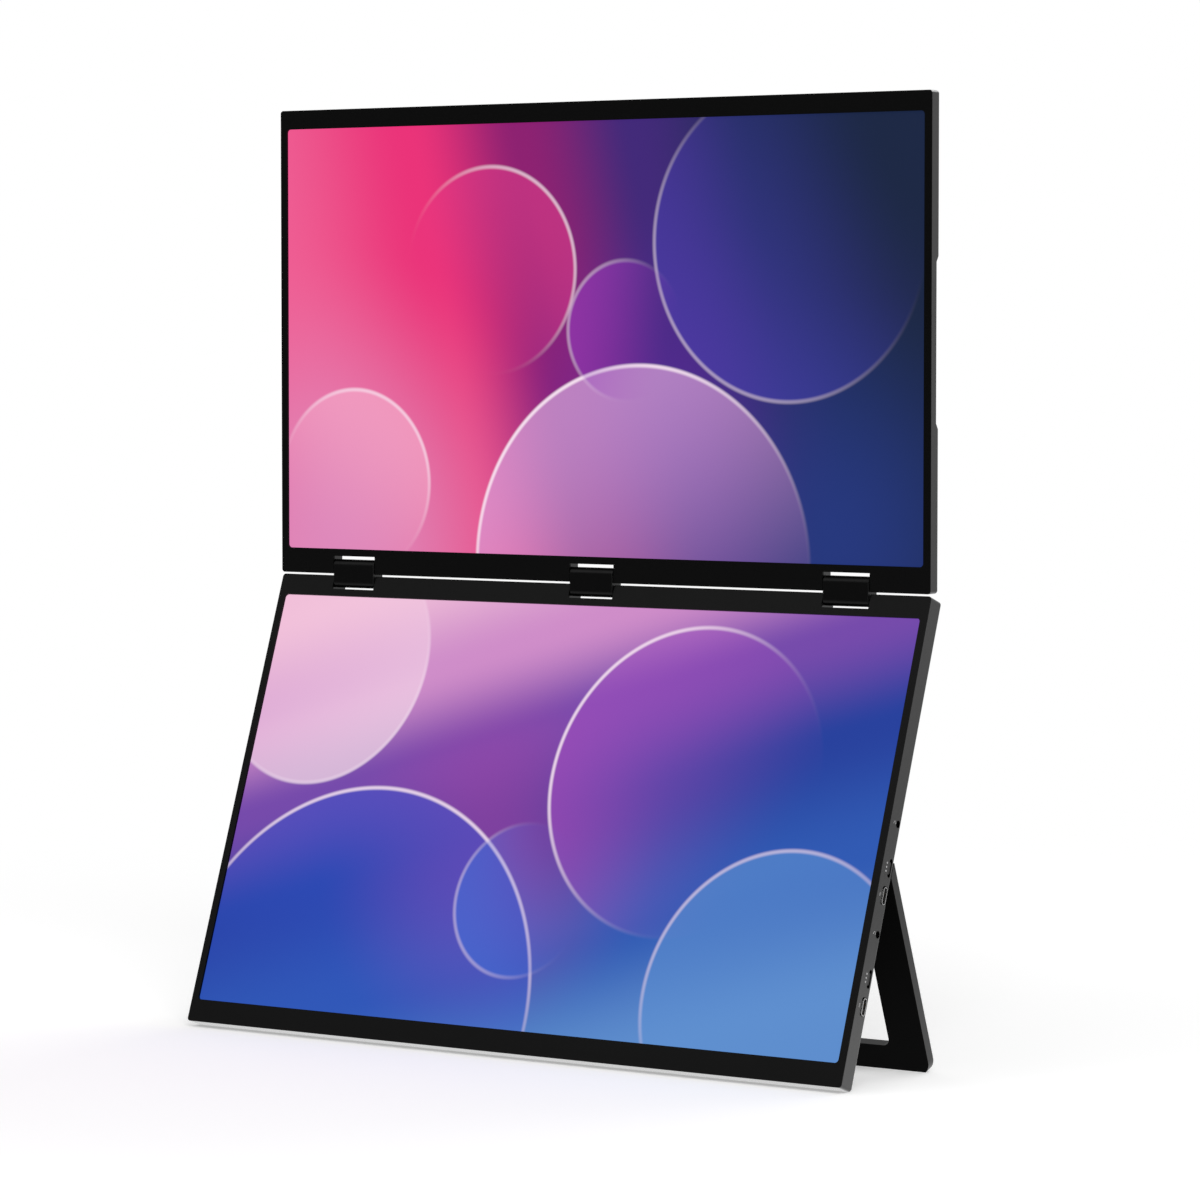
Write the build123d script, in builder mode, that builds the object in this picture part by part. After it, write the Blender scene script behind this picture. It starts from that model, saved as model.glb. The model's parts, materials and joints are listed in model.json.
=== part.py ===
from build123d import *
import os
from dataclasses import dataclass
from math import cos, radians, sin, tan

os.makedirs("parts", exist_ok=True)

# Two displays of one size, stacked on three double hinges, with a kickstand behind the lower one.
# X runs to the right, Y to the back and Z up. The screens face -Y and the floor is Z = 0.
# A place on a display is given as x across, up from its bottom edge and depth behind its front.

# Screens
ACTIVE_W = 408.96
ACTIVE_H = 230.04
ACTIVE_CORNER_R = 2.0
SIDE_BEZEL = 4.32
UPPER_TOP_BEZEL = 10.3
SCREEN_LAP = 1.8
SCREEN_FIT = 0.5

# Layers of a display, front to back
BEZEL_T = 1.2
BEZEL_LIP_T = 0.4
SCREEN_T = 1.2
BACKLIGHT_T = 2.4
UPPER_SPACE = 2.0
LOWER_SPACE = 5.6
UPPER_BACK_WALL = 1.2
LOWER_BACK_WALL = 0.9
WALL = 1.2
CORNER_R = 1.7
REAR_EDGE_R = 1.5
BEZEL_EDGE_R = 0.25

# Posture at rest, in degrees
LOWER_LEAN = 19.6
STAND_OPENING = 40.1

# Double hinges
HINGE_FROM_SIDE = 50.2
BLOCK_W = 27.4
BLOCK_FRONT = 3.6
BLOCK_REAR = 5.2
BLOCK_ABOVE_AXIS = 3.2
BLOCK_BELOW_AXIS = 2.75
BLOCK_CORNER_R = 3.4
BLOCK_END_R = 0.5
AXIS_SPACING = 9.6
AXIS_DEPTH = 2.9
UPPER_AXIS_FROM_EDGE = 4.6
LOWER_AXIS_FROM_EDGE = 3.25
NOTCH_SIDE_GAP = 0.5
UPPER_NOTCH_GAP = 1.9
LOWER_NOTCH_GAP = 1.8
BEHIND_NOTCH = 0.9
SHAFT_R = 1.1
BUSH_WALL = 0.5
BUSH_L = 8.0

# Hinge brackets and their screws
PLATE_T = 1.1
PLATE_BAR = 8.0
LEG_W = 10.0
EAR_L = 6.0
EAR_R = 1.9
BRACKET_SCREW_FROM_EAR = 2.0
BRACKET_SCREW_FROM_EDGE = 6.2
BRACKET_SCREW_BITE = 0.7

# Screws
SCREW_R = 1.0
SCREW_HEAD_R = 1.7
SCREW_HEAD_H = 0.7
DRIVE_R = 0.6
DRIVE_DEPTH = 0.4

# Clearances
RUNNING_FIT = 0.05
FIT = 0.3
SCREW_FIT = 0.1

# Thumb chamfers half way up the rear side edges of the upper cover
CHAMFER_L = 81.6
CHAMFER_RAMP = 4.1
CHAMFER_W = 2.8
CHAMFER_DEPTH = 2.95
CHAMFER_END_SHARE = 0.1
CHAMFER_RIB_W = 2.4

# Ports on the right side of the lower display, one group for each screen
GROUP_UP = (114.0, 57.0)
JACK_ABOVE_KEY = 22.8
USB_BELOW_KEY = 14.3
PORT_CENTRE_DEPTH = 8.0

# Controller boards
BOARD_W = 85.0
BOARD_T = 1.0
BOARD_BELOW_KEY = 21.0
BOARD_ABOVE_KEY = 31.0
BOARD_GAP = 0.8
BOARD_SIDE_GAP = 0.4
POST_R = 2.2
POST_FROM_SIDE = (22.0, 83.0)
POST_FROM_KEY = (-15.0, 25.0)
POST_BITE = 3.0

# Audio jack for a 3.5 mm plug
JACK_BORE_R = 1.8
JACK_BORE_L = 12.6
JACK_MOUTH_GAP = 0.1
JACK_W = 6.0
JACK_H = 4.5
JACK_L = 13.4
JACK_FLANGE_W = 9.2
JACK_FLANGE_L = 8.0
JACK_FLANGE_T = 0.7

# USB-C socket
USB_W = 8.94
USB_H = 3.26
USB_CORNER_R = 1.3
USB_SHELL_WALL = 0.3
USB_L = 7.5
USB_BACK_WALL = 1.2
USB_RECESS = 0.15
USB_FRONT_ROOM = 1.6
TONGUE_W = 6.69
TONGUE_T = 0.7
TONGUE_L = 4.9

# Rocker key and its switch
KEY_L = 6.4
KEY_W = 2.2
KEY_DEEP = 4.3
KEY_RECESS = 0.35
KEY_EDGE_R = 0.3
KEY_AXIS_FROM_SIDE = 2.6
KEY_AXLE_R = 0.6
KEY_END_GAP = 1.6
KEY_SIDE_GAP = 0.2
EAR_PLATE_T = 0.65
EAR_PLATE_W = 3.0
EAR_PLATE_GAP = 0.15
SWITCH_W = 9.0
SWITCH_L = 4.3
SWITCH_BEHIND_KEY = 0.85

# Timing boards and flat cables
TIMING_W = 90.0
TIMING_H = 16.0
TIMING_T = 0.8
TIMING_UP = 14.0
LOWER_TIMING_FROM_SIDE = 108.8
CABLE_T = 0.3
CABLE_W = 14.0
CABLE_LAP = 9.0
LINK_CABLE_W = 6.0
LINK_RUN_BELOW_TOP = 26.0
LINK_END_BELOW_TOP = 20.0

# Kickstand
STAND_T = 5.2
STAND_SIDE_GAP = 0.4
STAND_BACK_GAP = 0.3
STAND_AXIS_UP = 110.9
STAND_LEG_W = 21.2
STAND_FOOT_BAR = 15.5
STAND_TOP_BAR = 20.0
STAND_WINDOW_R = 4.0
STAND_FOOT_R = 8.0
STAND_HEEL = 6.7
LUG_FROM_SIDE = 68.8
LUG_W = 13.0
LUG_BASE = 8.0
LUG_SIDE_GAP = 0.5
LUG_SLOT_BELOW_AXIS = 6.0
LUG_SCREW_SPACING = 7.0
LUG_SCREW_BITE = 1.2
PIN_R = 1.2
PIN_GRIP = 7.0

# Sizes worked out from the above
LAYERS_T = BEZEL_T + SCREEN_T + BACKLIGHT_T
UPPER_T = LAYERS_T + UPPER_SPACE + UPPER_BACK_WALL
LOWER_T = LAYERS_T + LOWER_SPACE + LOWER_BACK_WALL
UPPER_NOTCH = UPPER_AXIS_FROM_EDGE + BLOCK_ABOVE_AXIS + UPPER_NOTCH_GAP
LOWER_NOTCH = LOWER_AXIS_FROM_EDGE + BLOCK_BELOW_AXIS + LOWER_NOTCH_GAP
HINGE_EDGE_MARGIN = WALL + BEHIND_NOTCH + SCREEN_LAP
UPPER_BOTTOM_BEZEL = UPPER_NOTCH + HINGE_EDGE_MARGIN
LOWER_TOP_BEZEL = LOWER_NOTCH + HINGE_EDGE_MARGIN
PANEL_W = ACTIVE_W + 2 * SIDE_BEZEL
PANEL_H = UPPER_BOTTOM_BEZEL + ACTIVE_H + UPPER_TOP_BEZEL
LOWER_BOTTOM_BEZEL = PANEL_H - ACTIVE_H - LOWER_TOP_BEZEL
CHAMFER_UP = PANEL_H / 2
SIDE = PANEL_W / 2
HINGE_SPACING = SIDE - HINGE_FROM_SIDE
LUG_X = SIDE - LUG_FROM_SIDE
LOWER_TIMING_X = SIDE - LOWER_TIMING_FROM_SIDE
NOTCH_HALF = BLOCK_W / 2 + NOTCH_SIDE_GAP
BRACKET_INNER = NOTCH_HALF + WALL + FIT
HINGES = {"left": -HINGE_SPACING, "middle": 0.0, "right": HINGE_SPACING}
BOARD_DEPTH = LAYERS_T + BOARD_GAP
BOARD_BACK = BOARD_DEPTH + BOARD_T
SIDES = {"left": -1, "right": 1}

# Places at rest: the lower display leans back, the upper one is upright above it
lean_sin = sin(radians(LOWER_LEAN))
lean_cos = cos(radians(LOWER_LEAN))
stand_lean = radians(STAND_OPENING - LOWER_LEAN)
stand_sin = sin(stand_lean)
stand_cos = cos(stand_lean)
STAND_HALF_T = STAND_T / 2
STAND_AXIS_DEPTH = LOWER_T + STAND_BACK_GAP + STAND_HALF_T

# Heights and reaches measured from the front bottom edge of the lower display
floor_drop = REAR_EDGE_R + (LOWER_T - REAR_EDGE_R) * lean_sin - REAR_EDGE_R * lean_cos
stand_axis_height = STAND_AXIS_UP * lean_cos - STAND_AXIS_DEPTH * lean_sin + floor_drop
stand_axis_reach = STAND_AXIS_UP * lean_sin + STAND_AXIS_DEPTH * lean_cos
stand_front_end = (STAND_HALF_T * stand_sin - stand_axis_height) / stand_cos
stand_rear_end = (-STAND_HALF_T * stand_sin - stand_axis_height) / stand_cos
foot_reach = stand_axis_reach - stand_rear_end * stand_sin + STAND_HALF_T * stand_cos
lower_top_reach = (PANEL_H - REAR_EDGE_R) * lean_sin + (LOWER_T - REAR_EDGE_R) * lean_cos + REAR_EDGE_R
lower_axis_reach = (PANEL_H - LOWER_AXIS_FROM_EDGE) * lean_sin + AXIS_DEPTH * lean_cos
upper_back_reach = lower_axis_reach - AXIS_DEPTH + UPPER_T
back_reach = max(foot_reach, lower_top_reach, upper_back_reach)
front_reach = BEZEL_EDGE_R * (lean_sin + lean_cos - 1)
front_edge_y = -(back_reach + front_reach) / 2

lower_face = Plane(origin=(0, front_edge_y, floor_drop), x_dir=(1, 0, 0), z_dir=(0, -lean_cos, lean_sin))
lower_axis = lower_face.from_local_coords(Vector(0, PANEL_H - LOWER_AXIS_FROM_EDGE, -AXIS_DEPTH))
upper_axis = lower_axis + Vector(0, 0, AXIS_SPACING)
upper_face = Plane(
    origin=upper_axis - Vector(0, AXIS_DEPTH, UPPER_AXIS_FROM_EDGE), x_dir=(1, 0, 0), z_dir=(0, -1, 0)
)
stand_axis = lower_face.from_local_coords(Vector(0, STAND_AXIS_UP, -STAND_AXIS_DEPTH))
stand_face = Plane(origin=stand_axis, x_dir=(1, 0, 0), z_dir=(0, -stand_cos, -stand_sin))


@dataclass(frozen=True)
class Display:
    """Sizes in which the two displays differ."""

    name: str
    face: Plane
    thickness: float
    back_wall: float
    active_up: float
    axis_from_edge: float
    notch: float
    hinge_at_top: bool
    timing_x: float

    @property
    def inner_back(self):
        """Depth of the inside of the back wall."""
        return self.thickness - self.back_wall

    def up(self, from_hinge_edge):
        """Height of a place that is measured from the edge that carries the hinges."""
        return PANEL_H - from_hinge_edge if self.hinge_at_top else from_hinge_edge

    def point(self, x, up, depth):
        """A place on this display, in the common frame."""
        return self.face.from_local_coords(Vector(x, up, -depth))


lower = Display("lower", lower_face, LOWER_T, LOWER_BACK_WALL, LOWER_BOTTOM_BEZEL,
                LOWER_AXIS_FROM_EDGE, LOWER_NOTCH, True, LOWER_TIMING_X)
upper = Display("upper", upper_face, UPPER_T, UPPER_BACK_WALL, UPPER_BOTTOM_BEZEL,
                UPPER_AXIS_FROM_EDGE, UPPER_NOTCH, False, HINGE_SPACING / 2)


def save(builder, name):
    """Label a finished piece and write it."""
    builder.part.label = name
    export_step(builder.part, f"parts/{name}.step")


def block(display, x_range, up_range, depth_range, mode=Mode.ADD, corner_r=0.0):
    """Box along a display's own directions, with upright edges rounded where a radius is given."""
    width = abs(x_range[1] - x_range[0])
    height = abs(up_range[1] - up_range[0])
    with BuildSketch(display.face.offset(-depth_range[0])) as outline:
        with Locations((sum(x_range) / 2, sum(up_range) / 2)):
            if corner_r:
                RectangleRounded(width, height, corner_r)
            else:
                Rectangle(width, height)
    extrude(outline.sketch, amount=depth_range[0] - depth_range[1], mode=mode)


def post(display, x, up, depth_range, radius, mode=Mode.ADD):
    """Round post that runs in depth."""
    with BuildSketch(display.face.offset(-depth_range[0])) as outline:
        with Locations((x, up)):
            Circle(radius)
    extrude(outline.sketch, amount=depth_range[0] - depth_range[1], mode=mode)


def rod(centre, radius, length, mode=Mode.ADD):
    """Round bar along X about its centre."""
    with BuildSketch(Plane(origin=centre, x_dir=(0, 1, 0), z_dir=(1, 0, 0))) as outline:
        Circle(radius)
    extrude(outline.sketch, amount=length / 2, both=True, mode=mode)


def screw(display, x, up, head_depth, tip_depth):
    """Screw driven towards larger depth where the tip lies deeper than the head."""
    inward = 1 if tip_depth > head_depth else -1
    top = head_depth - inward * SCREW_HEAD_H
    post(display, x, up, (top, head_depth), SCREW_HEAD_R)
    post(display, x, up, (head_depth, tip_depth), SCREW_R)
    post(display, x, up, (top, top + inward * DRIVE_DEPTH), DRIVE_R, Mode.SUBTRACT)


def bracket_screw_places(display):
    """Across and up places of the bracket screws, two for each hinge."""
    offset = BRACKET_INNER + EAR_L + BRACKET_SCREW_FROM_EAR
    up = display.up(BRACKET_SCREW_FROM_EDGE)
    return [(hinge_x + side * offset, up) for hinge_x in HINGES.values() for side in (-1, 1)]


def board_post_places():
    """Across and up places of the posts that carry the controller boards."""
    return [(SIDE - x, key_up + up) for key_up in GROUP_UP for x in POST_FROM_SIDE for up in POST_FROM_KEY]


def lug_screw_places():
    """Across and up places of the screws that hold the kickstand lugs."""
    half = LUG_SCREW_SPACING / 2
    return [(side * LUG_X + step, STAND_AXIS_UP) for side in SIDES.values() for step in (-half, half)]


def port_plane(up, depth, inset):
    """Plane on the right side of the lower display: its x runs up, its y to the front."""
    return Plane(origin=lower.point(SIDE - inset, up, depth), x_dir=lower_face.y_dir, z_dir=(1, 0, 0))


def tray(builder, display):
    """Back and side walls of a display, with walled notches for the hinge blocks."""
    block(display, (-SIDE, SIDE), (0, PANEL_H), (BEZEL_LIP_T, display.thickness), corner_r=CORNER_R)
    back = builder.faces().sort_by(Axis(display.face.origin, display.face.z_dir))[0]
    fillet(back.edges(), REAR_EDGE_R)
    inner = SIDE - WALL
    hollow_depths = (BEZEL_LIP_T, display.inner_back)
    block(display, (-inner, inner), (WALL, PANEL_H - WALL), hollow_depths, Mode.SUBTRACT)
    for hinge_x in HINGES.values():
        outer = NOTCH_HALF + WALL
        wall_ups = (display.up(WALL), display.up(display.notch + WALL))
        block(display, (hinge_x - outer, hinge_x + outer), wall_ups, (BEZEL_T, display.inner_back))
    notches(display, BEZEL_LIP_T, display.thickness)
    for hinge_x in HINGES.values():
        axis_place = display.point(hinge_x, display.up(display.axis_from_edge), AXIS_DEPTH)
        rod(axis_place, SHAFT_R + FIT, 2 * (NOTCH_HALF + WALL + FIT), Mode.SUBTRACT)
    for x, up in bracket_screw_places(display):
        tip = display.inner_back + BRACKET_SCREW_BITE
        post(display, x, up, (display.inner_back, tip), SCREW_R + SCREW_FIT, Mode.SUBTRACT)


def notches(display, depth_from, depth_to):
    """Cut the three hinge notches through a layer."""
    for hinge_x in HINGES.values():
        ups = (display.up(-CORNER_R), display.up(display.notch))
        xs = (hinge_x - NOTCH_HALF, hinge_x + NOTCH_HALF)
        block(display, xs, ups, (depth_from - FIT, depth_to + FIT), Mode.SUBTRACT)


def screen_range(display):
    """Up range of the screen and the backlight behind it."""
    return display.active_up - SCREEN_LAP, display.active_up + ACTIVE_H + SCREEN_LAP


# Pieces that both displays have
for display in (lower, upper):
    with BuildPart() as bezel:
        block(display, (-SIDE, SIDE), (0, PANEL_H), (0, BEZEL_LIP_T), corner_r=CORNER_R)
        front = bezel.faces().sort_by(Axis(display.face.origin, display.face.z_dir))[-1]
        fillet(front.edges(), BEZEL_EDGE_R)
        step_in = WALL + FIT
        step_xs = (step_in - SIDE, SIDE - step_in)
        block(display, step_xs, (step_in, PANEL_H - step_in), (BEZEL_LIP_T, BEZEL_T))
        active_ups = (display.active_up, display.active_up + ACTIVE_H)
        window = (-ACTIVE_W / 2, ACTIVE_W / 2)
        block(display, window, active_ups, (-FIT, BEZEL_T + FIT), Mode.SUBTRACT, ACTIVE_CORNER_R)
        notches(display, 0, BEZEL_T)
    save(bezel, f"{display.name}_bezel")

    screen_half = SIDE - WALL - SCREEN_FIT
    with BuildPart() as screen:
        screen_depths = (BEZEL_T, BEZEL_T + SCREEN_T)
        block(display, (-screen_half, screen_half), screen_range(display), screen_depths)
    save(screen, f"{display.name}_screen")

    with BuildPart() as backlight:
        backlight_depths = (BEZEL_T + SCREEN_T, LAYERS_T)
        block(display, (-screen_half, screen_half), screen_range(display), backlight_depths)
    save(backlight, f"{display.name}_backlight")

    with BuildPart() as timing_board:
        board_xs = (display.timing_x - TIMING_W / 2, display.timing_x + TIMING_W / 2)
        timing_depths = (LAYERS_T, LAYERS_T + TIMING_T)
        block(display, board_xs, (TIMING_UP, TIMING_UP + TIMING_H), timing_depths)
    save(timing_board, f"{display.name}_timing_board")

    with BuildPart() as screws:
        for x, up in bracket_screw_places(display):
            plate_front = display.inner_back - PLATE_T
            screw(display, x, up, plate_front, display.inner_back + BRACKET_SCREW_BITE)
    save(screws, f"{display.name}_hinge_screws")

    for hinge_name, hinge_x in HINGES.items():
        axis_up = display.up(display.axis_from_edge)
        axis_place = display.point(hinge_x, axis_up, AXIS_DEPTH)
        shaft_l = 2 * (BRACKET_INNER + EAR_L)

        with BuildPart() as bracket:
            plate_depths = (display.inner_back - PLATE_T, display.inner_back)
            bar_from = display.notch + WALL + FIT
            bar_ups = (display.up(bar_from), display.up(bar_from + PLATE_BAR))
            leg_ups = (display.up(WALL + FIT), display.up(bar_from + PLATE_BAR))
            ear_ups = (display.up(WALL + FIT), display.up(display.axis_from_edge + EAR_R))
            leg_end = BRACKET_INNER + LEG_W
            block(display, (hinge_x - leg_end, hinge_x + leg_end), bar_ups, plate_depths)
            for side in SIDES.values():
                leg_xs = (hinge_x + side * BRACKET_INNER, hinge_x + side * leg_end)
                ear_xs = (hinge_x + side * BRACKET_INNER, hinge_x + side * (BRACKET_INNER + EAR_L))
                block(display, leg_xs, leg_ups, plate_depths)
                block(display, ear_xs, ear_ups, (BEZEL_T + RUNNING_FIT, display.inner_back))
            rod(axis_place, SHAFT_R, shaft_l + FIT, Mode.SUBTRACT)
            for x, up in bracket_screw_places(display):
                post(display, x, up, plate_depths, SCREW_R + SCREW_FIT, Mode.SUBTRACT)
        save(bracket, f"{display.name}_hinge_bracket_{hinge_name}")

        with BuildPart() as shaft:
            rod(axis_place, SHAFT_R, shaft_l)
        save(shaft, f"{display.name}_hinge_shaft_{hinge_name}")

    with BuildPart() as bushes:
        for hinge_x in HINGES.values():
            for side in SIDES.values():
                bush_x = hinge_x + side * (BLOCK_W - BUSH_L) / 2
                place = display.point(bush_x, display.up(display.axis_from_edge), AXIS_DEPTH)
                rod(place, SHAFT_R + RUNNING_FIT + BUSH_WALL, BUSH_L)
                rod(place, SHAFT_R + RUNNING_FIT, BUSH_L, Mode.SUBTRACT)
    save(bushes, f"{display.name}_friction_bushes")

# Hinge blocks, each with a bore for either shaft and its bushes
for hinge_name, hinge_x in HINGES.items():
    block_plane = Plane(origin=(hinge_x, lower_axis.Y, lower_axis.Z), x_dir=(0, 1, 0), z_dir=(1, 0, 0))
    with BuildPart() as hinge_block:
        with BuildSketch(block_plane):
            block_h = BLOCK_BELOW_AXIS + AXIS_SPACING + BLOCK_ABOVE_AXIS
            block_mid = block_h / 2 - BLOCK_BELOW_AXIS
            with Locations(((BLOCK_REAR - BLOCK_FRONT) / 2, block_mid)):
                RectangleRounded(BLOCK_FRONT + BLOCK_REAR, block_h, BLOCK_CORNER_R)
        extrude(amount=BLOCK_W / 2, both=True)
        ends = hinge_block.faces().filter_by(Axis.X)
        fillet(ends.edges(), BLOCK_END_R)
        for axis in (lower_axis, upper_axis):
            centre = Vector(hinge_x, axis.Y, axis.Z)
            rod(centre, SHAFT_R + RUNNING_FIT + BUSH_WALL, BLOCK_W, Mode.SUBTRACT)
    save(hinge_block, f"hinge_block_{hinge_name}")

# Cover of the upper display, with a thumb chamfer on either side
with BuildPart() as upper_rear_cover:
    tray(upper_rear_cover, upper)
    rib_half = CHAMFER_L / 2 + CHAMFER_RAMP
    for side in SIDES.values():
        rib_xs = (side * (SIDE - WALL - CHAMFER_RIB_W), side * (SIDE - WALL))
        rib_ups = (CHAMFER_UP - rib_half, CHAMFER_UP + rib_half)
        block(upper, rib_xs, rib_ups, (LAYERS_T + FIT, upper.inner_back))
    for side in SIDES.values():
        stations = []
        full_half = CHAMFER_L / 2
        for along in (-rib_half, -full_half, full_half, rib_half):
            share = 1 if abs(along) == full_half else CHAMFER_END_SHARE
            corner = upper.point(side * SIDE, CHAMFER_UP + along, UPPER_T)
            cut_depth = share * CHAMFER_DEPTH + FIT * CHAMFER_DEPTH / CHAMFER_W
            cut_width = share * CHAMFER_W + FIT * CHAMFER_W / CHAMFER_DEPTH
            with BuildSketch(Plane(origin=corner, x_dir=(0, -1, 0), z_dir=(0, 0, 1))) as station:
                Polygon((-FIT, side * FIT), (cut_depth, side * FIT), (-FIT, -side * cut_width), align=None)
            stations.append(station.sketch)
        loft(stations, ruled=True, mode=Mode.SUBTRACT)
save(upper_rear_cover, "upper_rear_cover")

# Cover of the lower display, with the openings for its ports and posts for its boards
with BuildPart() as lower_rear_cover:
    tray(lower_rear_cover, lower)
    for x, up in board_post_places():
        post(lower, x, up, (BOARD_BACK, lower.inner_back), POST_R)
        post(lower, x, up, (BOARD_BACK, BOARD_BACK + POST_BITE), SCREW_R + SCREW_FIT, Mode.SUBTRACT)
    for x, up in lug_screw_places():
        post(lower, x, up, (lower.inner_back, LOWER_T), SCREW_R + SCREW_FIT, Mode.SUBTRACT)
    usb_depth = BOARD_BACK + USB_H / 2
    for key_up in GROUP_UP:
        with BuildSketch(port_plane(key_up + JACK_ABOVE_KEY, PORT_CENTRE_DEPTH, -FIT)) as jack_hole:
            Circle(JACK_BORE_R + JACK_MOUTH_GAP)
        with BuildSketch(port_plane(key_up, PORT_CENTRE_DEPTH, -FIT)) as key_slot:
            SlotOverall(KEY_L + 2 * KEY_END_GAP, KEY_W + 2 * KEY_SIDE_GAP)
        with BuildSketch(port_plane(key_up - USB_BELOW_KEY, usb_depth, -FIT)) as usb_hole:
            with Locations((0, USB_FRONT_ROOM / 2)):
                usb_hole_h = USB_H + 2 * FIT + USB_FRONT_ROOM
                RectangleRounded(USB_W + 2 * FIT, usb_hole_h, USB_CORNER_R + FIT)
        for hole in (jack_hole, key_slot, usb_hole):
            extrude(hole.sketch, amount=-WALL - 2 * FIT, mode=Mode.SUBTRACT)
save(lower_rear_cover, "lower_rear_cover")

# Ports, keys and controller boards
with BuildPart() as board_screws:
    for x, up in board_post_places():
        screw(lower, x, up, BOARD_DEPTH, BOARD_BACK + POST_BITE)
save(board_screws, "board_screws")

for number, key_up in enumerate(GROUP_UP, start=1):
    jack_up = key_up + JACK_ABOVE_KEY
    usb_up = key_up - USB_BELOW_KEY
    jack_back = SIDE - WALL - FIT - JACK_L
    board_end = SIDE - WALL - BOARD_SIDE_GAP
    key_back = KEY_RECESS + KEY_DEEP
    switch_front = key_back + SWITCH_BEHIND_KEY

    with BuildPart() as controller_board:
        board_ups = (key_up - BOARD_BELOW_KEY, key_up + BOARD_ABOVE_KEY)
        board_depths = (BOARD_DEPTH, BOARD_BACK)
        block(lower, (board_end - BOARD_W, board_end), board_ups, board_depths)
        jack_half = JACK_W / 2 + FIT
        block(lower, (jack_back - FIT, SIDE), (jack_up - jack_half, jack_up + jack_half), board_depths,
              Mode.SUBTRACT)
        key_half = SWITCH_W / 2 + FIT
        notch_x = SIDE - switch_front - EAR_PLATE_T - FIT
        block(lower, (notch_x, SIDE), (key_up - key_half, key_up + key_half), board_depths, Mode.SUBTRACT)
        for x, up in board_post_places():
            post(lower, x, up, board_depths, SCREW_R + SCREW_FIT, Mode.SUBTRACT)
    save(controller_board, f"controller_board_{number}")

    with BuildPart() as audio_jack:
        jack_depths = (PORT_CENTRE_DEPTH - JACK_H / 2, PORT_CENTRE_DEPTH + JACK_H / 2)
        jack_ups = (jack_up - JACK_W / 2, jack_up + JACK_W / 2)
        block(lower, (jack_back, jack_back + JACK_L), jack_ups, jack_depths)
        flange_ups = (jack_up - JACK_FLANGE_W / 2, jack_up + JACK_FLANGE_W / 2)
        flange_depths = (BOARD_BACK, BOARD_BACK + JACK_FLANGE_T)
        block(lower, (jack_back, jack_back + JACK_FLANGE_L), flange_ups, flange_depths)
        with BuildSketch(port_plane(jack_up, PORT_CENTRE_DEPTH, WALL + FIT)):
            Circle(JACK_BORE_R)
        extrude(amount=-JACK_BORE_L, mode=Mode.SUBTRACT)
    save(audio_jack, f"audio_jack_{number}")

    usb_mouth = port_plane(usb_up, BOARD_BACK + USB_H / 2, USB_RECESS)
    with BuildPart() as usb_shell:
        with BuildSketch(usb_mouth):
            RectangleRounded(USB_W, USB_H, USB_CORNER_R)
        extrude(amount=-USB_L)
        with BuildSketch(usb_mouth):
            inner_r = USB_CORNER_R - USB_SHELL_WALL
            RectangleRounded(USB_W - 2 * USB_SHELL_WALL, USB_H - 2 * USB_SHELL_WALL, inner_r)
        extrude(amount=USB_BACK_WALL - USB_L, mode=Mode.SUBTRACT)
    save(usb_shell, f"usb_c_shell_{number}")

    with BuildPart() as usb_tongue:
        with BuildSketch(usb_mouth.offset(USB_BACK_WALL - USB_L)):
            Rectangle(TONGUE_W, TONGUE_T)
        extrude(amount=TONGUE_L)
    save(usb_tongue, f"usb_c_tongue_{number}")

    ear_inner = KEY_W / 2 + EAR_PLATE_GAP
    ear_outer = ear_inner + EAR_PLATE_T
    axle_ends = (PORT_CENTRE_DEPTH - ear_outer, PORT_CENTRE_DEPTH + ear_outer)
    axle_x = SIDE - KEY_AXIS_FROM_SIDE
    with BuildPart() as rocker_switch:
        switch_ups = (key_up - SWITCH_W / 2, key_up + SWITCH_W / 2)
        switch_back = SIDE - switch_front - SWITCH_L
        block(lower, (switch_back, SIDE - switch_front), switch_ups, (BOARD_BACK, axle_ends[1]))
        ear_ups = (key_up - EAR_PLATE_W / 2, key_up + EAR_PLATE_W / 2)
        ear_xs = (SIDE - switch_front, SIDE - WALL - FIT)
        for ear_front in (axle_ends[0], axle_ends[1] - EAR_PLATE_T):
            block(lower, ear_xs, ear_ups, (ear_front, ear_front + EAR_PLATE_T))
        block(lower, (SIDE - switch_front - EAR_PLATE_T, SIDE - switch_front), ear_ups, axle_ends)
        post(lower, axle_x, key_up, axle_ends, KEY_AXLE_R + RUNNING_FIT, Mode.SUBTRACT)
    save(rocker_switch, f"rocker_switch_{number}")

    with BuildPart() as rocker_key:
        with BuildSketch(port_plane(key_up, PORT_CENTRE_DEPTH, KEY_RECESS)):
            SlotOverall(KEY_L, KEY_W)
        extrude(amount=-KEY_DEEP)
        key_front = rocker_key.faces().sort_by(Axis.X)[-1]
        fillet(key_front.edges(), KEY_EDGE_R)
        post(lower, axle_x, key_up, axle_ends, KEY_AXLE_R)
    save(rocker_key, f"rocker_key_{number}")

# Flat cables
link_start = GROUP_UP[0] + BOARD_ABOVE_KEY - CABLE_LAP
link_x = SIDE - POST_FROM_SIDE[1] + CABLE_W
link_end = BRACKET_INNER + LEG_W
with BuildPart() as link_cable:
    cable_depths = (LAYERS_T, LAYERS_T + CABLE_T)
    run_up = PANEL_H - LINK_RUN_BELOW_TOP
    block(lower, (link_x, link_x + LINK_CABLE_W), (link_start, run_up), cable_depths)
    block(lower, (link_end, link_x + LINK_CABLE_W), (run_up - LINK_CABLE_W, run_up), cable_depths)
    block(lower, (link_end, link_end + LINK_CABLE_W), (run_up, PANEL_H - LINK_END_BELOW_TOP), cable_depths)
save(link_cable, "link_cable")

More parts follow.
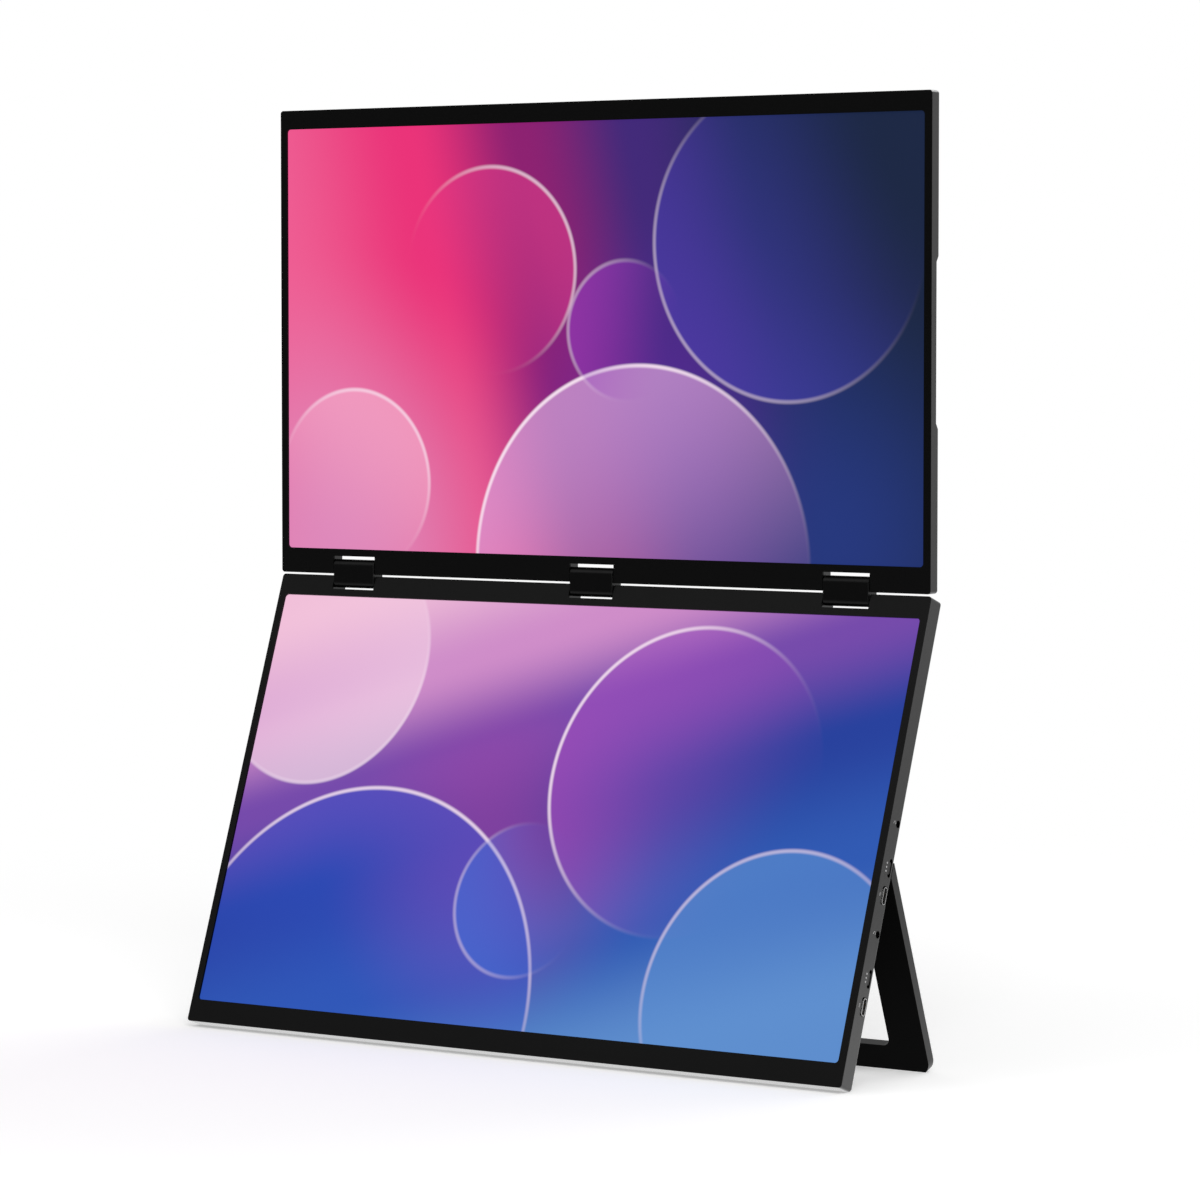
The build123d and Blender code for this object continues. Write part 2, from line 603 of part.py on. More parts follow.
timing_back = LAYERS_T + TIMING_T
with BuildPart() as upper_panel_cable:
    cable_xs = (link_end, upper.timing_x - TIMING_W / 2 + CABLE_LAP)
    cable_mid = TIMING_UP + TIMING_H / 2
    cable_ups = (cable_mid - LINK_CABLE_W / 2, cable_mid + LINK_CABLE_W / 2)
    block(upper, cable_xs, cable_ups, (timing_back, timing_back + CABLE_T))
save(upper_panel_cable, "upper_panel_cable")

timing_top = TIMING_UP + TIMING_H
board_bottom = GROUP_UP[1] - BOARD_BELOW_KEY
cable_x = LOWER_TIMING_X + TIMING_W / 2 - CABLE_W
cable_plane = Plane(origin=lower.point(cable_x, 0, 0), x_dir=lower_face.y_dir, z_dir=(1, 0, 0))
with BuildPart() as lower_panel_cable:
    with BuildSketch(cable_plane):
        Polygon(
            (timing_top - CABLE_LAP, -timing_back),
            (timing_top, -timing_back),
            (board_bottom, -BOARD_BACK),
            (board_bottom + CABLE_LAP, -BOARD_BACK),
            (board_bottom + CABLE_LAP, -BOARD_BACK - CABLE_T),
            (board_bottom - CABLE_T, -BOARD_BACK - CABLE_T),
            (timing_top - CABLE_T, -timing_back - CABLE_T),
            (timing_top - CABLE_LAP, -timing_back - CABLE_T),
            align=None,
        )
    extrude(amount=CABLE_W)
save(lower_panel_cable, "lower_panel_cable")

# Kickstand: a frame whose heel lands on the back of the lower display when it is open
stand_side = Plane(origin=stand_axis, x_dir=stand_face.z_dir, z_dir=(-1, 0, 0))
stand_half_w = SIDE - STAND_SIDE_GAP
opening = radians(STAND_OPENING)
heel_front = STAND_HALF_T * tan(opening / 2)
heel_blunt = STAND_HALF_T * (1 + cos(opening)) / sin(opening) - STAND_HEEL
heel_blunt_n = heel_blunt * tan(opening) - STAND_HALF_T
with BuildPart() as stand_frame:
    with BuildSketch(stand_side):
        Polygon(
            (STAND_HALF_T, stand_front_end),
            (STAND_HALF_T, heel_front),
            (heel_blunt_n, STAND_HEEL),
            (-STAND_HALF_T, STAND_HEEL),
            (-STAND_HALF_T, stand_rear_end),
            align=None,
        )
    extrude(amount=stand_half_w, both=True)
    with BuildSketch(stand_face) as outline:
        outline_h = STAND_HEEL - stand_rear_end + 2 * STAND_FOOT_R
        with Locations((0, stand_rear_end + outline_h / 2)):
            RectangleRounded(2 * stand_half_w, outline_h, STAND_FOOT_R)
        with Locations((0, (stand_rear_end + STAND_FOOT_BAR - STAND_TOP_BAR) / 2)):
            window_h = -STAND_TOP_BAR - stand_rear_end - STAND_FOOT_BAR
            RectangleRounded(2 * (stand_half_w - STAND_LEG_W), window_h, STAND_WINDOW_R, mode=Mode.SUBTRACT)
    extrude(outline.sketch, amount=STAND_T, both=True, mode=Mode.INTERSECT)
    for side in SIDES.values():
        slot_half = LUG_W / 2 + LUG_SIDE_GAP
        with BuildSketch(stand_face) as lug_slot:
            with Locations((side * LUG_X, (STAND_HEEL + STAND_T - LUG_SLOT_BELOW_AXIS) / 2)):
                Rectangle(2 * slot_half, STAND_HEEL + STAND_T + LUG_SLOT_BELOW_AXIS)
        extrude(lug_slot.sketch, amount=STAND_T, both=True, mode=Mode.SUBTRACT)
        pin_l = 2 * (slot_half + PIN_GRIP)
        rod(stand_axis + Vector(side * LUG_X, 0, 0), PIN_R, pin_l, Mode.SUBTRACT)
save(stand_frame, "stand_frame")

for side_name, side in SIDES.items():
    axis_place = stand_axis + Vector(side * LUG_X, 0, 0)
    with BuildPart() as stand_pin:
        rod(axis_place, PIN_R, pin_l)
    save(stand_pin, f"stand_pin_{side_name}")

    with BuildPart() as stand_lug:
        lug_plane = Plane(origin=axis_place, x_dir=lower_face.y_dir, z_dir=(1, 0, 0))
        lug_base = STAND_HALF_T + STAND_BACK_GAP
        with BuildSketch(lug_plane):
            Circle(STAND_HALF_T)
            Polygon((-LUG_BASE / 2, lug_base), (LUG_BASE / 2, lug_base), (STAND_HALF_T, 0),
                    (-STAND_HALF_T, 0), align=None)
        extrude(amount=LUG_W / 2, both=True)
        rod(axis_place, PIN_R + RUNNING_FIT, LUG_W, Mode.SUBTRACT)
        for x, up in lug_screw_places():
            post(lower, x, up, (LOWER_T, LOWER_T + LUG_SCREW_BITE), SCREW_R + SCREW_FIT, Mode.SUBTRACT)
    save(stand_lug, f"stand_lug_{side_name}")

with BuildPart() as stand_lug_screws:
    for x, up in lug_screw_places():
        screw(lower, x, up, lower.inner_back, LOWER_T + LUG_SCREW_BITE)
save(stand_lug_screws, "stand_lug_screws")
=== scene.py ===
import json
import logging
import math
from dataclasses import dataclass
from enum import Enum
from typing import Any, Callable, Mapping, Optional, Sequence, Union

import bmesh
import bpy
from mathutils import Matrix, Vector


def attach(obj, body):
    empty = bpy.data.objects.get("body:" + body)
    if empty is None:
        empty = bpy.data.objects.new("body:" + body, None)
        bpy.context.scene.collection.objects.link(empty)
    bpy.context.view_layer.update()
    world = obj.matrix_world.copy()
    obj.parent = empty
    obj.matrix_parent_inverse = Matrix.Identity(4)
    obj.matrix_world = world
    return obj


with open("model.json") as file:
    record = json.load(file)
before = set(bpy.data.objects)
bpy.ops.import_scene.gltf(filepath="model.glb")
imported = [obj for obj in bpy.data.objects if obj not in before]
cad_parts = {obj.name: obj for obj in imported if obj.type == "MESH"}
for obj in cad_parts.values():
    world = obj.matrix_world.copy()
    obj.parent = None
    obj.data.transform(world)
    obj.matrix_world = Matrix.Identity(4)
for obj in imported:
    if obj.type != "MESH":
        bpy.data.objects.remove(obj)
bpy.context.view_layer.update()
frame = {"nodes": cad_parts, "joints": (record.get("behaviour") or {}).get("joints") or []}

LOG = logging.getLogger("dual_monitor")
MM = 0.001
Colour = tuple[float, float, float, float]
Key = Union[int, str]
Given = Union["Value", float, Sequence[float]]
Point = tuple[float, float]
Triple = tuple[float, float, float]
X_AXIS = Vector((1.0, 0.0, 0.0))
UPRIGHT = Vector((0.0, 0.0, 1.0))
TO_FRONT = Vector((0.0, -1.0, 0.0))


class Body(Enum):
    """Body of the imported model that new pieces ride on."""

    LOWER = "lower_display"


class Slot(Enum):
    """Names of material slots of the record; no piece here takes them."""

    CASE = "case"
    PORT_METAL = "port_metal"


class Ray(Enum):
    """Kinds of ray that see the plain white surroundings."""

    CAMERA = "Is Camera Ray"
    GLOSSY = "Is Glossy Ray"
    TRANSMISSION = "Is Transmission Ray"


def srgb(red: int, green: int, blue: int) -> Colour:
    """Turn a screen colour into the linear colour that sockets take.

    Args:
        red: Red from 0 to 255.
        green: Green from 0 to 255.
        blue: Blue from 0 to 255.

    Returns:
        Linear colour with alpha 1.
    """
    def linear(level: int) -> float:
        """Linear value of one channel."""
        share = level / 255
        return share / 12.92 if share <= 0.04045 else ((share + 0.055) / 1.055) ** 2.4

    return linear(red), linear(green), linear(blue), 1.0


def grey(level: float) -> Colour:
    """Linear grey of that level."""
    return level, level, level, 1.0


BLACK = grey(0.0)
WHITE = grey(1.0)


def operator(operation: str, swapped: bool = False) -> Callable[..., "Value"]:
    """Make an arithmetic method of a value.

    Args:
        operation: Operation of the Math node.
        swapped: Whether the value stands on the right of the other.

    Returns:
        The method.
    """
    def method(self: "Value", other: Given = 0.0) -> "Value":
        """Add one Math node on this value and the other."""
        first, second = (other, self) if swapped else (self, other)
        return self.graph.node("ShaderNodeMath", {"operation": operation}, {0: first, 1: second})

    return method


class Value:
    """A node socket that takes part in Python arithmetic."""

    def __init__(self, graph: "Graph", socket: bpy.types.NodeSocket) -> None:
        """Keep the socket and the graph that it belongs to.

        Args:
            graph: Graph that new nodes are added to.
            socket: Output socket that this value stands for.
        """
        self.graph = graph
        self.socket = socket

    __add__, __radd__ = operator("ADD"), operator("ADD", swapped=True)
    __sub__, __rsub__ = operator("SUBTRACT"), operator("SUBTRACT", swapped=True)
    __mul__, __rmul__ = operator("MULTIPLY"), operator("MULTIPLY", swapped=True)
    __truediv__, __rtruediv__ = operator("DIVIDE"), operator("DIVIDE", swapped=True)
    __pow__ = operator("POWER")
    __abs__ = operator("ABSOLUTE")
    __lt__ = operator("LESS_THAN")


class Graph:
    """Node tree of a material, of the world or of a geometry modifier."""

    def __init__(self, tree: bpy.types.NodeTree) -> None:
        """Empty the tree.

        Args:
            tree: Tree that is filled.
        """
        self.tree = tree
        tree.nodes.clear()

    @staticmethod
    def find(sockets: Any, key: Key) -> bpy.types.NodeSocket:
        """Pick a socket by its place, identifier or name.

        Args:
            sockets: Inputs or outputs of a node.
            key: Place, identifier or name.

        Returns:
            The socket.
        """
        if isinstance(key, int):
            return sockets[key]
        for socket in sockets:
            if socket.identifier == key:
                return socket
        return sockets[key]

    def node(self, kind: str, settings: Optional[Mapping[str, Any]] = None,
             sockets: Optional[Mapping[Key, Given]] = None, output: Key = 0) -> Value:
        """Add one node.

        Args:
            kind: Type name of the node.
            settings: Attributes of the node, set first; "stops" holds a ramp's stops.
            sockets: Values or links of its inputs.
            output: Output that is returned.

        Returns:
            The chosen output, or None in it where the node has no outputs.
        """
        made = self.tree.nodes.new(kind)
        for name, setting in (settings or {}).items():
            if name == "stops":
                self.set_stops(made.color_ramp, setting)
            else:
                setattr(made, name, setting)
        for key, given in (sockets or {}).items():
            socket = self.find(made.inputs, key)
            if isinstance(given, Value):
                self.tree.links.new(given.socket, socket)
            else:
                socket.default_value = given
        return Value(self, self.find(made.outputs, output) if made.outputs else None)

    @staticmethod
    def set_stops(ramp: bpy.types.ColorRamp, stops: Sequence[tuple[float, Colour]]) -> None:
        """Give a colour ramp its stops.

        Args:
            ramp: Ramp that is set.
            stops: Place and colour of each stop, in order.
        """
        ramp.interpolation = "EASE"
        while len(ramp.elements) < len(stops):
            ramp.elements.new(1.0)
        for element, (place, colour) in zip(ramp.elements, stops):
            element.position = place
            element.color = colour

    def place(self) -> Value:
        """Place on the piece, in metres."""
        return self.node("ShaderNodeTexCoord", output="Object")

    def along(self, direction: Vector, vector: Optional[Value] = None) -> Value:
        """Reach of a place or another vector along a direction.

        Args:
            direction: Direction, of any length.
            vector: Vector that is measured, or None for the place on the piece.

        Returns:
            The dot product.
        """
        measured = vector or self.place()
        return self.node("ShaderNodeVectorMath", {"operation": "DOT_PRODUCT"},
                         {0: measured, 1: tuple(direction)}, "Value")

    def noise(self, grain: float, detail: float = 2.0, stretch: Vector = Vector((1, 1, 1))) -> Value:
        """Noise from nought to one.

        Args:
            grain: Size of one grain in metres.
            detail: Octaves of finer grain.
            stretch: How much finer the grain is along each axis.

        Returns:
            The noise value.
        """
        vector = self.node("ShaderNodeMapping", {}, {0: self.place(), "Scale": tuple(stretch)})
        return self.node("ShaderNodeTexNoise", {}, {"Vector": vector, "Scale": 1 / grain, "Detail": detail})

    def step(self, value: Value, low: float, high: float) -> Value:
        """Smooth step from nought at low to one at high; low may be the larger."""
        return self.node("ShaderNodeMapRange", {"interpolation_type": "SMOOTHSTEP"},
                         {"Value": value, "From Min": low, "From Max": high})

    def mix(self, share: Given, first: Given, second: Given) -> Value:
        """Mix two colours.

        Args:
            share: Share of the second colour.
            first: Colour at share nought.
            second: Colour at share one.

        Returns:
            The mixed colour.
        """
        return self.node("ShaderNodeMix", {"data_type": "RGBA"},
                         {"Factor_Float": share, "A_Color": first, "B_Color": second}, "Result_Color")

    def toned(self, share: Given, colour: Colour) -> Value:
        """Make a colour lighter or darker.

        Args:
            share: Half of the factor on the colour, so that one half leaves it as it is.
            colour: Colour that is toned.

        Returns:
            The toned colour.
        """
        double = tuple(2 * level for level in colour[:3])
        return self.mix(share, BLACK, double + (1.0,))

    @staticmethod
    def vary(middle: float, *spreads: tuple[Value, float]) -> Value:
        """Let a number stray from its middle with one or more noises.

        Args:
            middle: Number where every noise is one half.
            spreads: Each noise with the whole range that it adds.

        Returns:
            The varying number.
        """
        lowest = middle - sum(spread for _, spread in spreads) / 2
        return sum((spread * noise for noise, spread in spreads), lowest)

    def rows(self, across: Vector, pitch: float) -> Value:
        """Distance from the middle of the nearest of many equal rows.

        Args:
            across: Direction across the rows.
            pitch: Distance from row to row in metres.

        Returns:
            The distance in pitches, up to one half.
        """
        reach = self.along(across) * (1 / pitch)
        return abs(self.node("ShaderNodeMath", {"operation": "FRACT"}, {0: reach}) - 0.5)

    def bump(self, height: Value, depth: float, strength: float = 1.0) -> Value:
        """Bump that feeds a normal.

        Args:
            height: Height from nought to one.
            depth: Depth of the relief in metres.
            strength: Strength of the effect.

        Returns:
            The bent normal.
        """
        return self.node("ShaderNodeBump", {}, {"Strength": strength, "Distance": depth, "Height": height})

    def surface(self, **sockets: Given) -> None:
        """Finish a material with one principled shader.

        Args:
            sockets: Socket values or links, with spaces written as underscores.
        """
        named = {name.replace("_", " "): given for name, given in sockets.items()}
        shader = self.node("ShaderNodeBsdfPrincipled", {}, named)
        self.node("ShaderNodeOutputMaterial", {}, {"Surface": shader})


@dataclass(frozen=True)
class Finish:
    """Finish of a piece, which becomes one material."""

    name: str

    def material(self) -> bpy.types.Material:
        """Material of this finish, made on first use."""
        made = bpy.data.materials.get(self.name)
        if made is None:
            made = bpy.data.materials.new(self.name)
            made.use_nodes = True
            self.wire(Graph(made.node_tree))
        return made

    def wire(self, graph: Graph) -> None:
        """Fill the node tree of the material.

        Args:
            graph: Graph of the material.
        """
        raise NotImplementedError

    def dress(self, *objects: bpy.types.Object) -> None:
        """Give pieces this finish.

        Args:
            objects: Pieces that take it.
        """
        for piece in objects:
            if not piece.material_slots:
                piece.data.materials.append(None)
            for slot in piece.material_slots:
                slot.material = self.material()


@dataclass(frozen=True)
class MattCoat(Finish):
    """Matt moulded plastic or paint with a fine grain."""

    colour: Colour = grey(0.01)
    roughness: float = 0.5
    specular: float = 0.1
    grain: float = 0.35 * MM
    relief: float = 0.012 * MM
    clouding: float = 0.12
    cloud_size: float = 60 * MM
    grain_spread: float = 0.6
    gloss_spread: float = 0.12

    def wire(self, graph: Graph) -> None:
        """Fill the node tree with grain, clouding and a soft gloss.

        Args:
            graph: Graph of the material.
        """
        grain = graph.noise(self.grain)
        cloud = graph.noise(self.cloud_size, 1.0) * graph.vary(1.0, (grain, self.grain_spread))
        tone = (1 - self.clouding) / 2 + self.clouding * cloud
        graph.surface(Base_Color=graph.toned(tone, self.colour),
                      Roughness=graph.vary(self.roughness, (grain, self.gloss_spread)),
                      Specular_IOR_Level=self.specular, Normal=graph.bump(grain, self.relief))


@dataclass(frozen=True)
class BlastedMetal(Finish):
    """Bead blasted and dyed aluminium under a clear sealing coat."""

    colour: Colour = grey(0.01)
    roughness: float = 0.32
    grain: float = 0.16 * MM
    relief: float = 0.008 * MM
    relief_strength: float = 0.6
    cloud_size: float = 45 * MM
    cloud_spread: float = 0.1
    grain_spread: float = 0.06
    gloss_spread: float = 0.04
    coat: float = 1.0
    coat_roughness: float = 0.12

    def wire(self, graph: Graph) -> None:
        """Fill the node tree with blasted grain and faint handling marks.

        Args:
            graph: Graph of the material.
        """
        grain = graph.noise(self.grain, 1.0)
        cloud = graph.noise(self.cloud_size)
        tone = graph.vary(0.5, (cloud, self.cloud_spread), (grain, self.grain_spread))
        graph.surface(Base_Color=graph.toned(tone, self.colour), Metallic=1.0,
                      Roughness=graph.vary(self.roughness, (cloud, self.gloss_spread)),
                      Coat_Weight=self.coat, Coat_Roughness=self.coat_roughness,
                      Normal=graph.bump(grain, self.relief, self.relief_strength))


@dataclass(frozen=True)
class FacingShadeCoat(Finish):
    """One tone on the faces that look along a direction, and another on the rest, as lit and shaded copies
    of one coat: the near black tone is painted shade, the grey metal tone is the lit side.
    """

    face_normal: Triple = (0.0, -1.0, 0.0)
    # Default tones: near black on the facing faces as painted shade, lit grey metal on the rest.
    face: Colour = grey(0.0015)
    edge: Colour = grey(0.07)
    face_metal: float = 0.0
    edge_metal: float = 1.0
    face_roughness: float = 0.5
    edge_roughness: float = 0.36
    face_limit: float = 0.8
    limit_blend: float = 0.1
    specular: float = 0.03
    both_sides: bool = True
    grain: float = 0.2 * MM
    relief: float = 0.008 * MM
    relief_strength: float = 0.6
    cloud_size: float = 50 * MM
    face_spread: float = 0.2
    edge_spread: float = 0.16
    gloss_spread: float = 0.06

    def wire(self, graph: Graph) -> None:
        """Fill the node tree with the lit tone, the painted shade tone and their grain.

        Args:
            graph: Graph of the material.
        """
        normal = graph.node("ShaderNodeTexCoord", output="Normal")
        facing = graph.along(Vector(self.face_normal), normal)
        if self.both_sides:
            facing = abs(facing)
        # Share of the faces not along the direction: one set of faces gets the painted shade tone, the
        # other the lit metal tone.
        edge = graph.step(facing, self.face_limit + self.limit_blend, self.face_limit - self.limit_blend)
        grain = graph.noise(self.grain, 1.0)
        cloud = graph.noise(self.cloud_size)
        face = graph.toned(graph.vary(0.5, (cloud, self.face_spread)), self.face)
        rest_tone = graph.toned(graph.vary(0.5, (grain, self.edge_spread)), self.edge)
        roughness = self.face_roughness + (self.edge_roughness - self.face_roughness) * edge
        graph.surface(Base_Color=graph.mix(edge, face, rest_tone), Specular_IOR_Level=self.specular,
                      Metallic=self.face_metal + (self.edge_metal - self.face_metal) * edge,
                      Roughness=roughness + self.gloss_spread * cloud,
                      Normal=graph.bump(grain, self.relief, self.relief_strength))


@dataclass(frozen=True)
class DrawnMetal(Finish):
    """Bright metal with fine lines along one axis."""

    colour: Colour = grey(0.5)
    roughness: float = 0.3
    lines: Triple = (0.05, 1.0, 1.0)
    line_size: float = 0.12 * MM
    stain_size: float = 7 * MM
    spread: float = 0.1
    relief: float = 0.006 * MM
    relief_strength: float = 0.5

    def wire(self, graph: Graph) -> None:
        """Fill the node tree with drawn lines and light stains.

        Args:
            graph: Graph of the material.
        """
        line = graph.noise(self.line_size, stretch=Vector(self.lines))
        stain = graph.noise(self.stain_size)
        tone = graph.vary(0.5, (line, self.spread), (stain, self.spread))
        graph.surface(Base_Color=graph.toned(tone, self.colour), Metallic=1.0,
                      Roughness=graph.vary(self.roughness, (stain, self.spread)),
                      Normal=graph.bump(line, self.relief, self.relief_strength))


@dataclass(frozen=True)
class BoardResist(Finish):
    """Black solder resist over copper tracks."""

    resist: Colour = srgb(18, 20, 19)
    track: Colour = srgb(34, 37, 34)
    pitch: float = 1.6 * MM
    track_edge: Point = (0.2, 0.14)
    patch_size: float = 9 * MM
    patch_edge: Point = (0.44, 0.5)
    roughness: float = 0.38
    gloss_spread: float = 0.12
    specular: float = 0.4
    relief: float = 0.03 * MM

    def wire(self, graph: Graph) -> None:
        """Fill the node tree with rows of tracks under the resist.

        Args:
            graph: Graph of the material.
        """
        patch = graph.noise(self.patch_size, 1.0)
        rows = graph.step(graph.rows(X_AXIS, self.pitch), *self.track_edge)
        tracks = rows * graph.step(patch, *self.patch_edge)
        graph.surface(Base_Color=graph.mix(tracks, self.resist, self.track),
                      Roughness=graph.vary(self.roughness, (patch, self.gloss_spread)),
                      Specular_IOR_Level=self.specular, Normal=graph.bump(tracks, self.relief))


@dataclass(frozen=True)
class FilmCable(Finish):
    """Flat film cable with parallel conductors."""

    film: Colour = srgb(196, 160, 92)
    conductor: Colour = srgb(226, 200, 140)
    across: Triple = (1.0, 0.33, 0.94)
    pitch: float = 1.0 * MM
    line_edge: Point = (0.34, 0.22)
    haze_size: float = 4 * MM
    shown: float = 0.95
    haze_spread: float = 0.5
    roughness: float = 0.375
    gloss_spread: float = 0.15
    specular: float = 0.5
    relief: float = 0.04 * MM

    def wire(self, graph: Graph) -> None:
        """Fill the node tree with the conductors that show through the film.

        Args:
            graph: Graph of the material.
        """
        lines = graph.step(graph.rows(Vector(self.across), self.pitch), *self.line_edge)
        haze = graph.noise(self.haze_size)
        shown = lines * graph.vary(self.shown, (haze, self.haze_spread))
        graph.surface(Base_Color=graph.mix(shown, self.film, self.conductor),
                      Roughness=graph.vary(self.roughness, (haze, self.gloss_spread)),
                      Specular_IOR_Level=self.specular, Normal=graph.bump(lines, self.relief))


@dataclass(frozen=True)
class WhiteSheet(Finish):
    """White reflector sheet of a backlight, with its printed dots."""

    sheet: Colour = grey(0.78)
    ink: Colour = grey(0.66)
    dot_size: float = 1.5 * MM
    dot_edge: Point = (0.34, 0.26)
    roughness: float = 0.5
    dot_roughness: float = 0.7
    specular: float = 0.3
    relief: float = 0.01 * MM

    def wire(self, graph: Graph) -> None:
        """Fill the node tree with a grid of fine dots.

        Args:
            graph: Graph of the material.
        """
        cells = {"Vector": graph.place(), "Scale": 1 / self.dot_size}
        dot = graph.step(graph.node("ShaderNodeTexVoronoi", {}, cells, "Distance"), *self.dot_edge)
        graph.surface(Base_Color=graph.mix(dot, self.sheet, self.ink),
                      Roughness=self.roughness + (self.dot_roughness - self.roughness) * dot,
                      Specular_IOR_Level=self.specular, Normal=graph.bump(dot, self.relief))


@dataclass(frozen=True)
class PrintedInk(Finish):
    """Pale pad-printed ink."""

    colour: Colour = srgb(205, 205, 205)
    ground: Colour = grey(0.05)
    grain: float = 0.25 * MM
    cover: float = 0.875
    cover_spread: float = 0.25
    roughness: float = 0.6
    gloss_spread: float = 0.1
    specular: float = 0.2
    relief: float = 0.004 * MM

    def wire(self, graph: Graph) -> None:
        """Fill the node tree with a slightly uneven layer of ink.

        Args:
            graph: Graph of the material.
        """
        grain = graph.noise(self.grain)
        cover = graph.vary(self.cover, (grain, self.cover_spread))
        graph.surface(Base_Color=graph.mix(cover, self.ground, self.colour),
                      Roughness=graph.vary(self.roughness, (grain, self.gloss_spread)),
                      Specular_IOR_Level=self.specular, Normal=graph.bump(grain, self.relief))


@dataclass(frozen=True)
class Disc:
    """One soft disc of a screen's picture, in screen heights from its lower left corner."""

    x: float
    y: float
    radius: float
    light_deg: float
    colour: Colour
    strength: float
    rim: float = 0.0


@dataclass(frozen=True)
class Picture:
    """Plain picture: a sweep of colour across, up and from a start, with soft glows and discs on it."""

    sweep: Triple
    stops: tuple[tuple[float, Colour], ...]
    glows: tuple[Disc, ...]
    discs: tuple[Disc, ...]


LOWER_PICTURE = Picture(
    sweep=(0.42, -0.72, 0.68),
    stops=((0.0, srgb(240, 190, 216)), (0.2, srgb(206, 140, 200)), (0.36, srgb(116, 72, 170)),
           (0.54, srgb(34, 62, 156)), (0.76, srgb(44, 88, 178)), (1.0, srgb(92, 140, 204))),
    glows=(Disc(0.75, 0.42, 0.5, 0, srgb(196, 60, 160), 0.35),),
    discs=(
        Disc(0.42, 0.02, 0.52, 80, srgb(46, 78, 196), 0.6, 0.75),
        Disc(1.24, 0.60, 0.36, 150, srgb(160, 76, 190), 0.55, 0.8),
        Disc(0.16, 0.84, 0.30, 300, srgb(252, 222, 238), 0.6, 0.5),
        Disc(1.58, 0.12, 0.34, 120, srgb(96, 148, 214), 0.5, 0.45),
        Disc(0.86, 0.30, 0.18, 200, srgb(60, 110, 216), 0.5, 0.3),
    ),
)
UPPER_PICTURE = Picture(
    sweep=(1.0, 0.12, -0.06),
    stops=((0.0, srgb(238, 92, 146)), (0.26, srgb(234, 48, 120)), (0.44, srgb(140, 28, 112)),
           (0.62, srgb(64, 38, 120)), (0.8, srgb(28, 40, 88)), (1.0, srgb(23, 36, 66))),
    glows=(
        Disc(0.15, 0.0, 0.75, 0, srgb(214, 150, 200), 0.7),
        Disc(1.05, 0.3, 0.55, 0, srgb(92, 40, 160), 0.5),
        Disc(1.55, 0.05, 0.6, 0, srgb(40, 64, 150), 0.5),
    ),
    discs=(
        Disc(1.02, -0.02, 0.46, 120, srgb(214, 158, 220), 0.62, 0.9),
        Disc(0.60, 0.66, 0.24, 40, srgb(226, 60, 140), 0.5, 0.55),
        Disc(1.42, 0.72, 0.36, 220, srgb(70, 64, 176), 0.5, 0.35),
        Disc(0.20, 0.16, 0.22, 60, srgb(250, 182, 212), 0.5, 0.6),
        Disc(0.98, 0.52, 0.16, 160, srgb(150, 60, 190), 0.5, 0.3),
    ),
)


@dataclass(frozen=True)
class LitScreen(Finish):
    """Lit screen with a plain picture of soft overlapping discs on a sweep of colour."""

    corner: Vector
    up: Vector
    width: float
    height: float
    picture: Picture
    rim_colour: Colour = srgb(252, 232, 246)
    edge_softness: float = 0.006
    rim_width: float = 0.008
    lit_edge: Point = (0.05, 1.0)
    glass: tuple[Colour, Colour] = (grey(0.003), grey(0.006))
    sparkle_size: float = 0.2 * MM
    roughness: float = 0.35
    gloss_spread: float = 0.1
    specular: float = 0.03

    def wire(self, graph: Graph) -> None:
        """Fill the node tree with the picture, kept to the lit area.

        Args:
            graph: Graph of the material.
        """
        across = (graph.along(X_AXIS) - self.corner.x) / self.height
        rise = (graph.along(self.up) - self.corner.dot(self.up)) / self.height
        aspect = self.width / self.height
        right, over, start = self.picture.sweep
        run = across * (right / aspect) + rise * over + start
        colour = graph.node("ShaderNodeValToRGB", {"stops": self.picture.stops}, {"Fac": run}, "Color")
        for glow in self.picture.glows:
            reach = self.reach(glow, across, rise)
            colour = graph.mix(graph.step(reach, glow.radius, 0.0) * glow.strength, colour, glow.colour)
        for disc in self.picture.discs:
            colour = self.lay(graph, disc, across, rise, colour)
        inside = (abs(across / aspect - 0.5) < 0.5) * (abs(rise - 0.5) < 0.5)
        sparkle = graph.noise(self.sparkle_size)
        graph.surface(Base_Color=graph.mix(sparkle, *self.glass), Specular_IOR_Level=self.specular,
                      Roughness=graph.vary(self.roughness, (sparkle, self.gloss_spread)),
                      Emission_Color=graph.mix(inside, BLACK, colour), Emission_Strength=1.0)

    @staticmethod
    def reach(disc: Disc, across: Value, rise: Value) -> Value:
        """Distance from the middle of a disc.

        Args:
            disc: Disc that is measured from.
            across: Place across the screen.
            rise: Place up the screen.

        Returns:
            The distance in screen heights.
        """
        right, over = across - disc.x, rise - disc.y
        return (right * right + over * over) ** 0.5

    def lay(self, graph: Graph, disc: Disc, across: Value, rise: Value, below: Value) -> Value:
        """Lay one disc over the picture.

        Args:
            graph: Graph of the material.
            disc: Disc that is laid.
            across: Place across the screen.
            rise: Place up the screen.
            below: Colour of the picture so far.

        Returns:
            The colour with the disc on it.
        """
        reach = self.reach(disc, across, rise)
        turn = math.radians(disc.light_deg)
        towards = (across - disc.x) * math.cos(turn) + (rise - disc.y) * math.sin(turn)
        lit = graph.step(towards / (2 * disc.radius) + 0.5, *self.lit_edge)
        inside = graph.step(reach, disc.radius + self.edge_softness, disc.radius - self.edge_softness)
        colour = graph.mix(inside * lit * disc.strength, below, disc.colour)
        if disc.rim:
            ring = graph.step(abs(reach - disc.radius), self.rim_width, 0.0)
            colour = graph.mix(ring * lit * lit * disc.rim, colour, self.rim_colour)
        return colour


